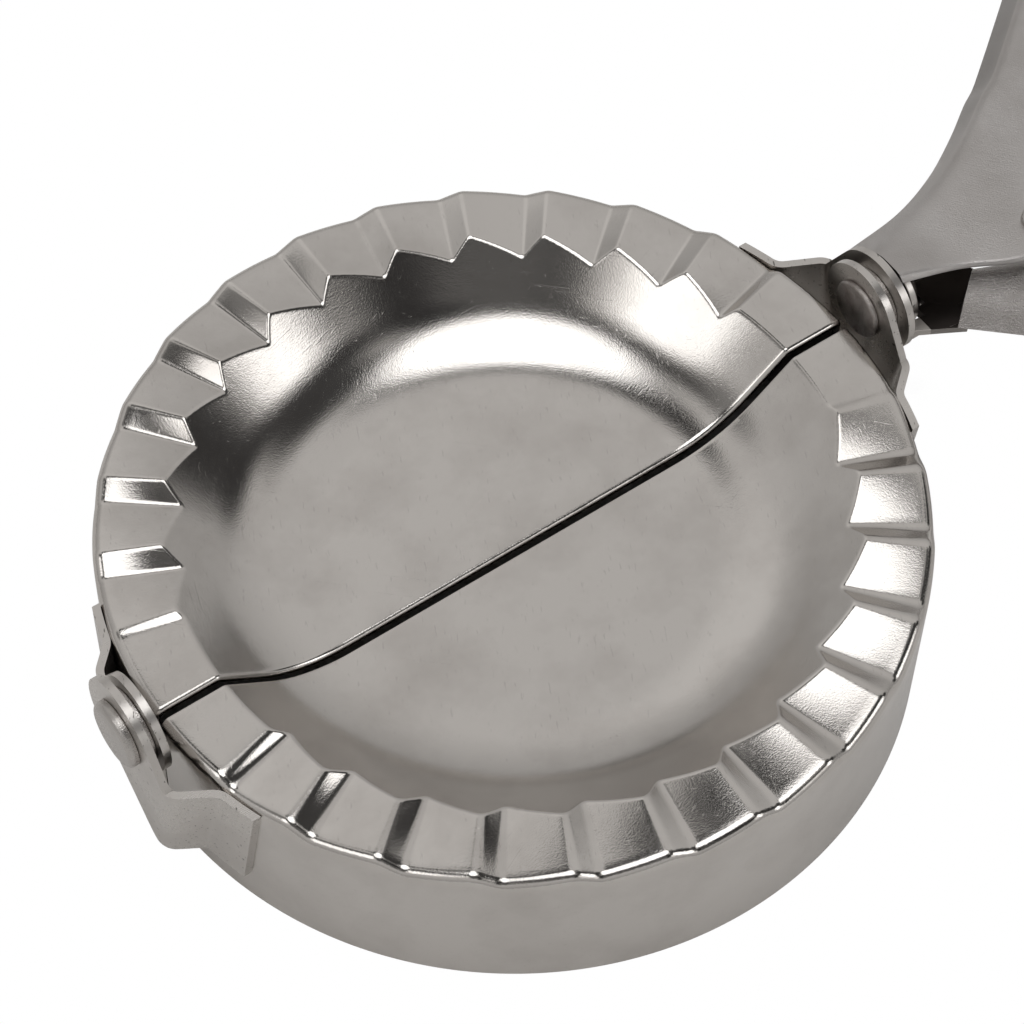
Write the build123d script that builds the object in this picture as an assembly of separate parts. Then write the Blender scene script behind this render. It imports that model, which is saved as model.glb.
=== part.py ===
from build123d import *
from math import cos, radians, sin, sqrt, tan
import os

os.makedirs("parts", exist_ok=True)

# Millimetres, +Z up. The press lies open on its two cutting rims, the hinge axis runs along X
# and both handles leave at the +X end. "left" is the +Y half, "right" is the -Y half.

# ---- pressed half shells -------------------------------------------------------------------
SHEET = 0.9                    # stainless sheet of shells, straps, brackets and handles
RIM_RADIUS = 45.9              # outside of the cutting skirt
SKIRT_DEPTH = 19.7             # cutting edge up to the middle of the crimps
HALF_GAP = 0.75                # each shell stops this far from the hinge plane
BOWL_DEPTH = 7.45              # filling dish below the middle of the crimps
BOWL_FLOOR_RADIUS = 22.0       # flat floor of the dish
BOWL_BLEND_RADIUS = 17.0       # large blend from floor to wall
BOWL_WALL_ANGLE = 38.3         # wall slope above the horizontal, degrees
RIM_ROUND = 0.85               # bend between flange and skirt

# ---- crimped flange ------------------------------------------------------------------------
CRIMP_COUNT = 14               # flats on half a turn
CRIMP_INNER = 0.84             # crest height at the dish edge, and valley depth
CRIMP_OUTER = 0.57             # the same at the outer edge
CRIMP_STEP = 3.4               # angular width of one steep facet, degrees
PAD_HEIGHT = 0.38              # level pads beside the hinges, above the middle of the crimps
PAD_LEAD = 0.3                 # a pad ends this many degrees before the middle of its step
INNER_REFERENCE = 37.2         # radius at which CRIMP_INNER is measured
OUTER_REFERENCE = 44.9         # radius at which CRIMP_OUTER is measured

# ---- hinge ---------------------------------------------------------------------------------
PIVOT_LIFT = 1.2               # hinge axis above the middle of the crimps
INNER_EAR_RADIUS = 5.7
OUTER_EAR_RADIUS = 6.3
FRONT_EAR_CLEARANCE = 1.4      # inner ear beyond the skirt at the -X end
REAR_EAR_CLEARANCE = 2.0       # and at the +X end
FRONT_WASHER = 0.9             # thickness of the spacer between the two front ears
REAR_WASHER = 1.2              # and between the two rear ears
WASHER_RADIUS = 4.4
PIN_RADIUS = 2.0
PIN_CLEARANCE = 0.05           # radial play of the turning ears
FRONT_HEAD_RADIUS = 3.9        # formed outer head of the front hinge rivet
REAR_HEAD_RADIUS = 3.3         # and of the rear one, which lies under the left handle
HEAD_HEIGHT = 1.2
PEEN_RADIUS = 3.6              # peened inner ends
PEEN_HEIGHT = 0.6

# ---- straps --------------------------------------------------------------------------------
STRAP_TOP = -0.5               # upper edge, from the middle of the crimps
STRAP_BOTTOM = -14.8           # lower edge
STRAP_LEAVES_AT = 10.9         # distance from the hinge plane where a strap leaves the skirt
STRAP_FLAT_FROM = 8.2          # distance where it is flat and square to the axis
STRAP_STEP_LEAN = 2.4          # both distances are this much shorter at the lower edge
STRAP_BEND = 1.6               # inside radius of the two bends of the step
STRAP_END_TOP = 15.9           # end of the strap along Y, at its upper edge
STRAP_END_BOTTOM = 13.9        # and at its lower edge
STRAP_CORNER = 5.0             # round of the free lower corner
STRAP_CORNER_IN = 7.6          # centre of that round, from the hinge plane

# ---- handle brackets -----------------------------------------------------------------------
# Plan points of brackets, handles and rivets: X from the skirt, Y from the hinge plane.
BRACKET_EAR_RADIUS = 4.4
BRACKET_GAP = 0.3              # play between the ears of the two brackets
LEFT_TONGUE_WIDTH = 4.8        # at the round end of the left tongue
LEFT_TONGUE_BEND = 4.0         # width of the left tongue where it leaves its ear
LEFT_TONGUE_BULGE = (19.7, -6.0)   # corner of the left tongue beside its first rivet
RIGHT_TONGUE_WIDTH = 5.0       # of the right tongue below its handle
RIGHT_TONGUE_BACK = 4.5        # it is level from this far before its first rivet
RIGHT_TONGUE_AHEAD = 4.0       # to this far beyond its second rivet
RIGHT_TONGUE_LOW = 1.3         # upper face of the right tongue beside the hinge, above the crimps
RIGHT_TONGUE_RISE = 0.2        # where it starts to climb
RIGHT_ARM_DEPTH = 1.5          # height of the arm between the right ear and its tongue
RIGHT_ARM_INNER = -4.8         # the arm reaches from here
RIGHT_ARM_OUTER = -6.2         # to here along Y
RIGHT_TONGUE_START = ((8.7, -5.2), (8.1, -7.9))
RIGHT_TONGUE_CLIMB = ((12.7, -6.4), (11.0, -8.4))
RIGHT_SHELF = (                # wide flat part of the right tongue, beyond the hinge rivet's head
    (8.6, -0.8), (14.9, -0.8), (16.9, -4.0), (10.4, -9.2), (8.1, -7.9), (7.4, -7.0),
    (7.4, -3.7), (8.6, -3.7))

# ---- handles -------------------------------------------------------------------------------
LEFT_WEB_TOP = 6.5             # upper face of the left handle's flat web, above the crimps
LEFT_NECK_RISE = 0.9           # the web starts this much higher over the hinge
LEFT_GRIP_EDGE = 1.9           # lower edge of its grip
LEFT_INNER_EDGE = 5.6          # lower edge of its inner side where the right handle passes below
RIGHT_WEB_TOP = 4.5            # upper face of the right handle's web
RIGHT_GRIP_EDGE = 1.4          # lower edge of the right handle
LEFT_NECK = ((5.2, 6.0), (5.2, -3.0))          # outer and inner side where the left handle starts
LEFT_WAIST = ((12.1, 6.3), (12.1, -4.8))       # and at the narrowest place
LEFT_FLARES = (                                # then it widens
    ((19.1, 9.0), (19.1, -8.2)),
    ((25.1, 12.4), (26.1, -8.8)),
    ((30.3, 15.9), (34.6, -5.1)))
LEFT_OUTER_EDGES = (3.4, 4.5, 3.6, 3.0, 2.4)   # lower edge of the outer side at these five places
NECK_BEVEL = 4.4               # width of the outer sloping side at the neck
WAIST_BEVEL = 2.3              # and at the waist
INNER_BEVEL = 1.3              # width of the inner sloping side
RIGHT_CUT = ((16.1, -3.2), (9.3, -8.7))        # sides of the right handle at its straight cut
RIGHT_FLARE = ((24.3, -6.4), (16.5, -15.4))    # and where it widens
GRIP_WIDTH = 19.0
GRIP_BEVEL = 2.6               # width of the sloping sides
GRIP_HEADING = 37.0            # both grips point this far away from the hinge axis, degrees
LEFT_GRIP_START = (40.1, 10.9)     # middle of the left grip where it becomes straight
RIGHT_GRIP_START = (34.1, -18.9)   # middle of the right grip where it becomes straight
GRIP_LENGTH = 64.0             # from there to the tip
HANG_HOLE_RADIUS = 3.0         # in the middle of the round tip

# ---- handle rivets -------------------------------------------------------------------------
RIVET_RADIUS = 1.5
RIVET_HEAD_RADIUS = 2.1
RIVET_HEAD_RISE = 0.7
RIVET_FOOT = 0.4               # height of the set end below the tongue
RIVET_PITCH = 7.5
LEFT_RIVET_START = (23.8, -4.7)
LEFT_RIVET_HEADING = 20.0      # direction of the row on the left handle, degrees
RIGHT_RIVET_START = (24.3, -13.2)
RIGHT_RIVET_HEADING = -30.3    # direction of the right tongue under the handle, degrees

PITCH = 180.0 / CRIMP_COUNT
CRIMP_LINE = SKIRT_DEPTH        # height of the middle of the crimps above the table
PIVOT_Z = CRIMP_LINE + PIVOT_LIFT
FRONT_EAR_X = RIM_RADIUS + FRONT_EAR_CLEARANCE
REAR_EAR_X = RIM_RADIUS + REAR_EAR_CLEARANCE
RIGHT_EAR_X = REAR_EAR_X + SHEET + REAR_WASHER + SHEET   # right bracket's ear, on the strap
STRAP_REACH = PIVOT_Z + 1.2 * OUTER_EAR_RADIUS    # above the top of every ear
FAR = 400.0                    # larger than the whole press, for cutting tools


def polar(radius, angle, z):
    """Point at a radius and an angle in degrees about the middle of the ring."""
    return Vector(radius * cos(radians(angle)), radius * sin(radians(angle)), z)


def beyond(point):
    """Plan point measured from the skirt, in the frame of the ring."""
    return (RIM_RADIUS + point[0], point[1])


# ---- half shell ----------------------------------------------------------------------------
def crimp_stations():
    """Angle, inner height and outer height of each crease of the left half."""
    crest = (CRIMP_INNER, CRIMP_OUTER)
    valley = (-CRIMP_INNER, -CRIMP_OUTER)
    pad = (PAD_HEIGHT, PAD_HEIGHT)
    half = CRIMP_STEP / 2
    stations = [(-5.0, *pad), (PITCH - PAD_LEAD, *pad), (PITCH + half, *valley)]
    for step in range(2, CRIMP_COUNT - 1):
        stations.append((step * PITCH - half, *crest))
        stations.append((step * PITCH + half, *valley))
    last = (CRIMP_COUNT - 1) * PITCH
    stations.append((last - half, *crest))
    stations.append((last - PAD_LEAD, *pad))
    stations.append((185.0, *pad))
    return stations


def under_crimps(drop):
    """Everything below the crimped surface lowered by drop, between two radii."""
    inside = BOWL_FLOOR_RADIUS + 6.0
    outside = RIM_RADIUS + 6.0
    slope_span = OUTER_REFERENCE - INNER_REFERENCE
    wires = []
    for angle, inner, outer in crimp_stations():
        heights = []
        for radius in (inside, outside):
            rise = inner + (outer - inner) * (radius - INNER_REFERENCE) / slope_span
            heights.append(CRIMP_LINE + rise - drop)
        wires.append(Wire.make_polygon([
            polar(inside, angle, -5.0),
            polar(outside, angle, -5.0),
            polar(outside, angle, heights[1]),
            polar(inside, angle, heights[0]),
        ]))
    return Solid.make_loft(wires, ruled=True)


def dish_profile(offset):
    """Section of the space above the dish surface, the surface lowered by offset."""
    wall = radians(BOWL_WALL_ANGLE)
    blend = BOWL_BLEND_RADIUS + offset
    centre_z = CRIMP_LINE - BOWL_DEPTH + BOWL_BLEND_RADIUS
    floor_z = centre_z - blend
    top_z = CRIMP_LINE + 4.0
    mid = Vector(BOWL_FLOOR_RADIUS + blend * sin(wall / 2), 0, centre_z - blend * cos(wall / 2))
    end = Vector(BOWL_FLOOR_RADIUS + blend * sin(wall), 0, centre_z - blend * cos(wall))
    rim = Vector(end.X + (top_z - end.Z) / tan(wall), 0, top_z)
    edges = [
        Line((0, 0, floor_z), (BOWL_FLOOR_RADIUS, 0, floor_z)),
        ThreePointArc((BOWL_FLOOR_RADIUS, 0, floor_z), mid, end),
        Line(end, rim),
        Line(rim, (0, 0, top_z)),
        Line((0, 0, top_z), (0, 0, floor_z)),
    ]
    return make_face(edges)


def dish_space(offset):
    """Solid of revolution above the dish surface."""
    return revolve(dish_profile(offset), axis=Axis.Z, revolution_arc=360)


def half_shell():
    """Left half shell: dish, crimped flange and cutting skirt in one pressed sheet."""
    core_radius = BOWL_FLOOR_RADIUS + 8.0
    core_height = CRIMP_LINE - 2.0 + 5.0
    core = Pos(0, 0, -5.0) * Cylinder(core_radius, core_height, align=(Align.CENTER, Align.CENTER, Align.MIN))
    keep = Pos(0, HALF_GAP, 0) * Box(FAR, FAR, FAR, align=(Align.CENTER, Align.MIN, Align.MIN))
    outer = Cylinder(RIM_RADIUS, FAR)
    inner = Cylinder(RIM_RADIUS - SHEET, FAR)
    blank = (under_crimps(0.0) + core) & outer & keep
    hollow = (under_crimps(SHEET) + core) & inner
    hollow = hollow - dish_space(SHEET)
    shell = blank - dish_space(0.0) - hollow
    return shell


def finished_shell():
    """Left half shell with the bend between flange and skirt rounded."""
    shell = half_shell()
    rim = []
    for edge in shell.edges():
        middle = edge.center()
        on_skirt = sqrt(middle.X ** 2 + middle.Y ** 2) > RIM_RADIUS - 0.2
        if on_skirt and middle.Z > CRIMP_LINE - 2.0 and abs(edge.tangent_at(0.5).Z) < 0.95:
            rim.append(edge)
    return fillet(rim, RIM_ROUND)


# ---- straps --------------------------------------------------------------------------------
def strap_outline(ear_radius):
    """Side outline of a strap on the YZ plane, its own half on +Y."""
    top = CRIMP_LINE + STRAP_TOP
    bottom = CRIMP_LINE + STRAP_BOTTOM
    corner = Pos(STRAP_CORNER_IN, bottom + STRAP_CORNER) * Circle(STRAP_CORNER)
    ear = Pos(0, PIVOT_Z) * Circle(ear_radius)
    web = make_hull(ear.edges() + corner.edges())
    wing = make_face(Polyline(
        (0, PIVOT_Z),
        (STRAP_CORNER_IN, bottom),
        (STRAP_END_BOTTOM, bottom),
        (STRAP_END_TOP, top),
        (ear_radius * 0.8, top),
        close=True,
    ))
    return web + wing


def strap_step(ear_x, offset_out):
    """Space inside the step of a strap, grown outwards by offset_out.

    The end of the step leans, so it is nearer to the hinge plane at the bottom.
    """
    leave_x = sqrt(RIM_RADIUS ** 2 - STRAP_LEAVES_AT ** 2)
    slope = Vector(leave_x - ear_x, STRAP_LEAVES_AT - STRAP_FLAT_FROM, 0)
    length = slope.length
    corner_shift = offset_out * (length - slope.Y) / -slope.X
    out = Vector(slope.Y, -slope.X, 0) * (offset_out / length)
    back = 2 * OUTER_EAR_RADIUS
    rings = []
    for height in (CRIMP_LINE + STRAP_BOTTOM, STRAP_REACH):
        below = CRIMP_LINE + STRAP_TOP - height
        flat_y = STRAP_FLAT_FROM - STRAP_STEP_LEAN * below / (STRAP_TOP - STRAP_BOTTOM)
        inside = Vector(ear_x, flat_y, height) + slope * 2 + out
        rings.append(Wire.make_polygon([
            Vector(0, -back, height),
            Vector(ear_x + offset_out, -back, height),
            Vector(ear_x + offset_out, flat_y + corner_shift, height),
            inside,
            Vector(0, inside.Y, height),
        ]))
    return Solid.make_loft(rings, ruled=True)


def strap_bends(band, convex):
    """The convex or the hollow edges of the two bends in a strap's step."""
    upright = [edge for edge in band.edges() if abs(edge.tangent_at(0.5).Z) > 0.9]
    step = [edge for edge in upright if 0 < edge.center().Y < STRAP_END_TOP]
    step.sort(key=lambda edge: edge.center().X)
    skirt_inner, skirt_outer, flat_inner, flat_outer = step
    return [skirt_inner, flat_outer] if convex else [skirt_outer, flat_inner]


def strap(ear_x, ear_radius, hole_radius):
    """Strap of the left half at the +X end: hugs the skirt, steps out and ends in an ear."""
    base = (Align.CENTER, Align.CENTER, Align.MIN)
    low = CRIMP_LINE + STRAP_BOTTOM
    skirt = Pos(0, 0, low) * Cylinder(RIM_RADIUS, STRAP_REACH - low, align=base)
    wrap = Pos(0, 0, low) * Cylinder(RIM_RADIUS + SHEET, STRAP_REACH - low, align=base)
    band = (wrap + strap_step(ear_x, SHEET)) - (skirt + strap_step(ear_x, 0.0))
    band = band & Pos(RIM_RADIUS, 0, CRIMP_LINE) * Box(RIM_RADIUS, 2.4 * STRAP_END_TOP, 4 * SKIRT_DEPTH)
    outer = strap_bends(band, True)
    hollow = strap_bends(band, False)
    band = fillet(outer, STRAP_BEND + SHEET)
    hollow = [min(band.edges(), key=lambda edge: (edge.center() - old.center()).length) for old in hollow]
    band = fillet(hollow, STRAP_BEND)
    cut = extrude(Plane.YZ * strap_outline(ear_radius), 2 * RIM_RADIUS)
    hole = x_cylinder(hole_radius, 0.0, 2 * RIM_RADIUS)
    return (band & cut) - hole


def x_cylinder(radius, start, end):
    """Cylinder around the hinge axis between two X positions."""
    return Pos(start, 0, PIVOT_Z) * Rot(0, 90, 0) * Cylinder(
        radius, end - start, align=(Align.CENTER, Align.CENTER, Align.MIN))


# ---- hinge rivets and spacers --------------------------------------------------------------
def hinge_rivet(inner_x, outer_x, head_radius):
    """Rivet along X with a peened inner end and a formed outer head."""
    pin = x_cylinder(PIN_RADIUS, inner_x - PEEN_HEIGHT / 2, outer_x + HEAD_HEIGHT / 2)
    peen = x_cylinder(PEEN_RADIUS, inner_x - PEEN_HEIGHT, inner_x)
    head = x_cylinder(head_radius, outer_x, outer_x + HEAD_HEIGHT)
    outer_rim = head.edges().sort_by(Axis.X)[-1]
    inner_rim = peen.edges().sort_by(Axis.X)[0]
    return pin + fillet(outer_rim, HEAD_HEIGHT * 0.6) + fillet(inner_rim, PEEN_HEIGHT * 0.6)


def spacer(start, thickness):
    """Washer between two ears."""
    return x_cylinder(WASHER_RADIUS, start, start + thickness) - x_cylinder(
        PIN_RADIUS, start - thickness, start + 2 * thickness)


# ---- handle brackets -----------------------------------------------------------------------
def left_bracket():
    """Ear beyond the right bracket's ear, bent over into the tongue below the left handle."""
    start = RIGHT_EAR_X + SHEET + BRACKET_GAP
    top = CRIMP_LINE + LEFT_WEB_TOP - SHEET
    ear = x_cylinder(BRACKET_EAR_RADIUS, start, start + SHEET)
    bend = LEFT_TONGUE_BEND / 2
    half = LEFT_TONGUE_WIDTH / 2
    heading = radians(LEFT_RIVET_HEADING)
    first, last = rivet_places(LEFT_RIVET_START, LEFT_RIVET_HEADING)
    side = (-sin(heading) * half, cos(heading) * half)
    plan = make_face(Polyline(
        (start, -bend),
        (start + 2 * SHEET, -bend),
        beyond(LEFT_TONGUE_BULGE),
        (first[0] - side[0], first[1] - side[1]),
        (last[0] - side[0], last[1] - side[1]),
        (last[0] + side[0], last[1] + side[1]),
        (start + 2 * SHEET, bend),
        (start, bend),
        close=True,
    ))
    tongue = Pos(0, 0, top - SHEET) * extrude(plan + Pos(*last) * Circle(half), SHEET)
    neck = Pos(start, 0, PIVOT_Z) * Box(
        SHEET, LEFT_TONGUE_BEND, top - PIVOT_Z, align=(Align.MIN, Align.CENTER, Align.MIN))
    plate = ear + neck + tongue - x_cylinder(PIN_RADIUS, start - SHEET, start + 2 * SHEET)
    return plate - rivet_row(LEFT_RIVET_START, LEFT_RIVET_HEADING, RIVET_RADIUS)


def strip_section(one, other, top):
    """Rectangle of sheet thickness between two plan points, its upper edge at top."""
    return Wire.make_polygon([
        Vector(*one, top),
        Vector(*other, top),
        Vector(*other, top - SHEET),
        Vector(*one, top - SHEET),
    ])


def right_bracket():
    """Ear on the rear left strap and the tongue that carries the right handle."""
    low = CRIMP_LINE + RIGHT_TONGUE_LOW
    high = CRIMP_LINE + RIGHT_WEB_TOP - SHEET
    start = RIGHT_EAR_X
    ear = x_cylinder(BRACKET_EAR_RADIUS, start, start + SHEET)
    arm = Pos(start, RIGHT_ARM_OUTER, low - RIGHT_ARM_DEPTH) * Box(
        SHEET, -RIGHT_ARM_OUTER, RIGHT_ARM_DEPTH, align=(Align.MIN, Align.MIN, Align.MIN))
    heading = radians(RIGHT_RIVET_HEADING)
    half = RIGHT_TONGUE_WIDTH / 2
    side = Vector(-sin(heading) * half, cos(heading) * half)
    along = Vector(cos(heading), sin(heading))
    first = Vector(*beyond(RIGHT_RIVET_START))
    near = first - along * RIGHT_TONGUE_BACK
    far = first + along * (RIVET_PITCH + RIGHT_TONGUE_AHEAD)
    sections = [
        strip_section((start, RIGHT_ARM_INNER), (start, RIGHT_ARM_OUTER), low),
        strip_section(*[beyond(point) for point in RIGHT_TONGUE_START], low),
        strip_section(*[beyond(point) for point in RIGHT_TONGUE_CLIMB], low + RIGHT_TONGUE_RISE),
    ]
    for place in (near, far):
        one, other = place + side, place - side
        sections.append(strip_section((one.X, one.Y), (other.X, other.Y), high))
    tongue = Solid.make_loft(sections, ruled=True)
    shelf = extrude(make_face(Polyline(*[beyond(point) for point in RIGHT_SHELF], close=True)), SHEET)
    tongue = tongue + Pos(0, 0, low - SHEET) * shelf
    hole = x_cylinder(PIN_RADIUS + PIN_CLEARANCE, start - SHEET, start + 2 * SHEET)
    plate = ear + arm + tongue - hole
    return plate - rivet_row(RIGHT_RIVET_START, RIGHT_RIVET_HEADING, RIVET_RADIUS)


# ---- handles -------------------------------------------------------------------------------
def slope_inside(bevel, rise):
    """Inner foot (run, drop) and inner corner (run) of a sloping side from its outer foot.

    A deep side is cut off level, a shallow one square to the sheet.
    """
    length = sqrt(bevel ** 2 + rise ** 2)
    along = (rise - SHEET + SHEET * bevel / length) * length / rise
    corner = SHEET * rise / length + along * bevel / length
    if rise > 2 * SHEET:
        return SHEET * length / rise, 0.0, corner
    return SHEET * rise / length, SHEET * bevel / length, corner


def channel_section(far, near, web, far_edge, near_edge, far_bevel, near_bevel):
    """Open channel of sheet thickness between two plan points, heights above the crimps."""
    start = Vector(*beyond(far), 0)
    across = Vector(*beyond(near), 0) - start
    width = across.length
    across = across.normalized()
    far_foot, far_drop, far_corner = slope_inside(far_bevel, web - far_edge)
    near_foot, near_drop, near_corner = slope_inside(near_bevel, web - near_edge)
    corners = [
        (0, far_edge),
        (far_bevel, web),
        (width - near_bevel, web),
        (width, near_edge),
        (width - near_foot, near_edge - near_drop),
        (width - near_corner, web - SHEET),
        (far_corner, web - SHEET),
        (far_foot, far_edge - far_drop),
    ]
    points = [start + across * run + Vector(0, 0, CRIMP_LINE + height) for run, height in corners]
    return Wire.make_polygon(points)


def grip_sections(start, heading, web, edge, length):
    """Two equal channel sections at the ends of a straight grip, far side on the left."""
    direction = Vector(cos(radians(heading)), sin(radians(heading)), 0)
    side = Vector(-direction.Y, direction.X, 0) * (GRIP_WIDTH / 2)
    sections = []
    for distance in (0.0, length):
        middle = Vector(*start, 0) + direction * distance
        far = middle + side
        near = middle - side
        sections.append(channel_section(
            (far.X, far.Y), (near.X, near.Y), web, edge, edge, GRIP_BEVEL, GRIP_BEVEL))
    return sections


def tip_cut(start, heading):
    """Everything outside the round tip of a grip, and its hanging hole."""
    place = Pos(*beyond(start), 0) * Rot(0, 0, heading) * Pos(GRIP_LENGTH - GRIP_WIDTH / 2, 0, 0)
    base = (Align.CENTER, Align.CENTER, Align.MIN)
    outside = Box(GRIP_WIDTH, 2 * GRIP_WIDTH, 2 * PIVOT_Z, align=(Align.MIN, Align.CENTER, Align.MIN))
    tip = Cylinder(GRIP_WIDTH / 2, 2 * PIVOT_Z, align=base)
    hole = Cylinder(HANG_HOLE_RADIUS, 2 * PIVOT_Z, align=base)
    return place * (outside - tip + hole)


def left_handle():
    """Handle that arches over the hinge, widens to both sides and swings out to the left."""
    web = LEFT_WEB_TOP
    neck_web = web + LEFT_NECK_RISE
    inner_drop = web - LEFT_INNER_EDGE
    edges = LEFT_OUTER_EDGES
    sections = [
        channel_section(*LEFT_NECK, neck_web, edges[0], neck_web - inner_drop, NECK_BEVEL, INNER_BEVEL),
        channel_section(*LEFT_WAIST, web, edges[1], LEFT_INNER_EDGE, WAIST_BEVEL, INNER_BEVEL),
    ]
    for sides, edge in zip(LEFT_FLARES, edges[2:]):
        sections.append(channel_section(*sides, web, edge, LEFT_INNER_EDGE, GRIP_BEVEL, INNER_BEVEL))
    sections += grip_sections(LEFT_GRIP_START, GRIP_HEADING, web, LEFT_GRIP_EDGE, GRIP_LENGTH)
    handle = Solid.make_loft(sections, ruled=True)
    handle = handle - tip_cut(LEFT_GRIP_START, GRIP_HEADING)
    return handle - rivet_row(LEFT_RIVET_START, LEFT_RIVET_HEADING, RIVET_RADIUS)


def right_handle():
    """Handle that starts with a straight cut beside the hinge and swings out to the right."""
    web = RIGHT_WEB_TOP
    edge = RIGHT_GRIP_EDGE
    sections = [
        channel_section(*RIGHT_CUT, web, edge, edge, GRIP_BEVEL, GRIP_BEVEL),
        channel_section(*RIGHT_FLARE, web, edge, edge, GRIP_BEVEL, GRIP_BEVEL),
    ]
    sections += grip_sections(RIGHT_GRIP_START, -GRIP_HEADING, web, edge, GRIP_LENGTH)
    handle = Solid.make_loft(sections, ruled=True)
    handle = handle - tip_cut(RIGHT_GRIP_START, -GRIP_HEADING)
    return handle - rivet_row(RIGHT_RIVET_START, RIGHT_RIVET_HEADING, RIVET_RADIUS)


# ---- handle rivets -------------------------------------------------------------------------
def rivet_places(start, heading):
    """Plan positions of the two rivets of a handle, in the frame of the ring."""
    x, y = beyond(start)
    step_x = RIVET_PITCH * cos(radians(heading))
    step_y = RIVET_PITCH * sin(radians(heading))
    return [(x, y), (x + step_x, y + step_y)]


def rivet_row(start, heading, radius):
    """Cylinders through everything at the rivet positions."""
    shafts = [
        Pos(x, y, 0) * Cylinder(radius, 2 * PIVOT_Z, align=(Align.CENTER, Align.CENTER, Align.MIN))
        for x, y in rivet_places(start, heading)
    ]
    return shafts[0] + shafts[1]


def handle_rivets(start, heading, web):
    """Two rivets that clamp a handle's web on its tongue."""
    top = CRIMP_LINE + web
    under = top - 2 * SHEET
    rivets = []
    for x, y in rivet_places(start, heading):
        base = (Align.CENTER, Align.CENTER, Align.MIN)
        shank = Pos(x, y, under) * Cylinder(RIVET_RADIUS, 2 * SHEET, align=base)
        head = Pos(x, y, top) * Cylinder(RIVET_HEAD_RADIUS, RIVET_HEAD_RISE, align=base)
        foot = Pos(x, y, under - RIVET_FOOT) * Cylinder(RIVET_HEAD_RADIUS, RIVET_FOOT, align=base)
        head = fillet(head.edges().sort_by(Axis.Z)[-1], RIVET_HEAD_RISE * 0.7)
        rivets.append(shank + head + foot)
    return Compound(children=[rivet.solid() for rivet in rivets])


# ---- the whole press -----------------------------------------------------------------------
def build_pieces():
    """Every piece of the open press in place."""
    half_turn = Rot(0, 0, 180)
    left_shell = finished_shell()
    fixed = PIN_RADIUS
    turning = PIN_RADIUS + PIN_CLEARANCE
    front_outer_x = FRONT_EAR_X + SHEET + FRONT_WASHER
    rear_outer_x = REAR_EAR_X + SHEET + REAR_WASHER
    rear_left = strap(rear_outer_x, OUTER_EAR_RADIUS, turning)
    rear_right = mirror(strap(REAR_EAR_X, INNER_EAR_RADIUS, fixed), about=Plane.XZ)
    front_left = half_turn * mirror(strap(FRONT_EAR_X, INNER_EAR_RADIUS, turning), about=Plane.XZ)
    front_right = half_turn * strap(front_outer_x, OUTER_EAR_RADIUS, fixed)
    rear_rivet_end = RIGHT_EAR_X + SHEET + BRACKET_GAP + SHEET
    return {
        "left_half_shell": left_shell,
        "right_half_shell": half_turn * left_shell,
        "front_left_strap": front_left,
        "front_right_strap": front_right,
        "rear_left_strap": rear_left,
        "rear_right_strap": rear_right,
        "front_hinge_rivet": half_turn * hinge_rivet(
            FRONT_EAR_X, front_outer_x + SHEET, FRONT_HEAD_RADIUS),
        "rear_hinge_rivet": hinge_rivet(REAR_EAR_X, rear_rivet_end, REAR_HEAD_RADIUS),
        "front_spacer_washer": half_turn * spacer(FRONT_EAR_X + SHEET, FRONT_WASHER),
        "rear_spacer_washer": spacer(REAR_EAR_X + SHEET, REAR_WASHER),
        "left_handle_bracket": left_bracket(),
        "right_handle_bracket": right_bracket(),
        "left_handle": left_handle(),
        "right_handle": right_handle(),
        "left_handle_rivets": handle_rivets(
            LEFT_RIVET_START, LEFT_RIVET_HEADING, LEFT_WEB_TOP),
        "right_handle_rivets": handle_rivets(RIGHT_RIVET_START, RIGHT_RIVET_HEADING, RIGHT_WEB_TOP),
    }


pieces = build_pieces()
boxes = [piece.bounding_box() for piece in pieces.values()]
middle_x = (min(box.min.X for box in boxes) + max(box.max.X for box in boxes)) / 2
middle_y = (min(box.min.Y for box in boxes) + max(box.max.Y for box in boxes)) / 2
for name, piece in pieces.items():
    placed = Pos(-middle_x, -middle_y, 0) * piece
    export_step(placed, "parts/" + name + ".step")
print("ring centre stands at", -middle_x, -middle_y, "and the hinge axis at height", PIVOT_Z)
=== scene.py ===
"""Looks of the empanada press: half shells, handles, small parts, steel finishes and studio."""
import logging
import math
from dataclasses import dataclass, field
from enum import Enum

import bmesh
import bpy
from mathutils import Matrix, Vector


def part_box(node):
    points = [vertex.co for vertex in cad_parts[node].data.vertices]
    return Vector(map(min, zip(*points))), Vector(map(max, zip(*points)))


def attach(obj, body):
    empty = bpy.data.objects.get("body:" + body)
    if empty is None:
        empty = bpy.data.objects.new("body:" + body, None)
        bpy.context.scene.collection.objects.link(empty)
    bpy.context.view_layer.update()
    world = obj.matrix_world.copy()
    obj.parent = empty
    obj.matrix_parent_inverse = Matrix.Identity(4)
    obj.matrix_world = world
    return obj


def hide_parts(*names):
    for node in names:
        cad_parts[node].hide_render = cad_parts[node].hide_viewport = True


LOG = logging.getLogger("press")
MM = 0.001
SHEET = 0.9  # thickness of the steel
HALF_GAP = 0.75  # each CAD shell ends this far from the hinge plane
SKIRT_DEPTH = 19.7  # cutting edge up to the middle of the crimps
HINGE_RISE = 1.2  # hinge axis above the middle of the crimps
SHARP_ANGLE = 32.0  # fold of a small part that counts as an edge, degrees
BUMP_HEIGHT = 0.1  # relief of a bump of strength one
TICK_TINT = (0.05, 0.045, 0.04)
# painted shade: near black for the steep side faces
SIDE_SHADE_TINT = (0.03, 0.028, 0.027)
# painted shade: near black for the faces in the deep shadow under the left handle by the rear hinge
PAINTED_SHADE_TINT = (0.035, 0.03, 0.028)

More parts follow.
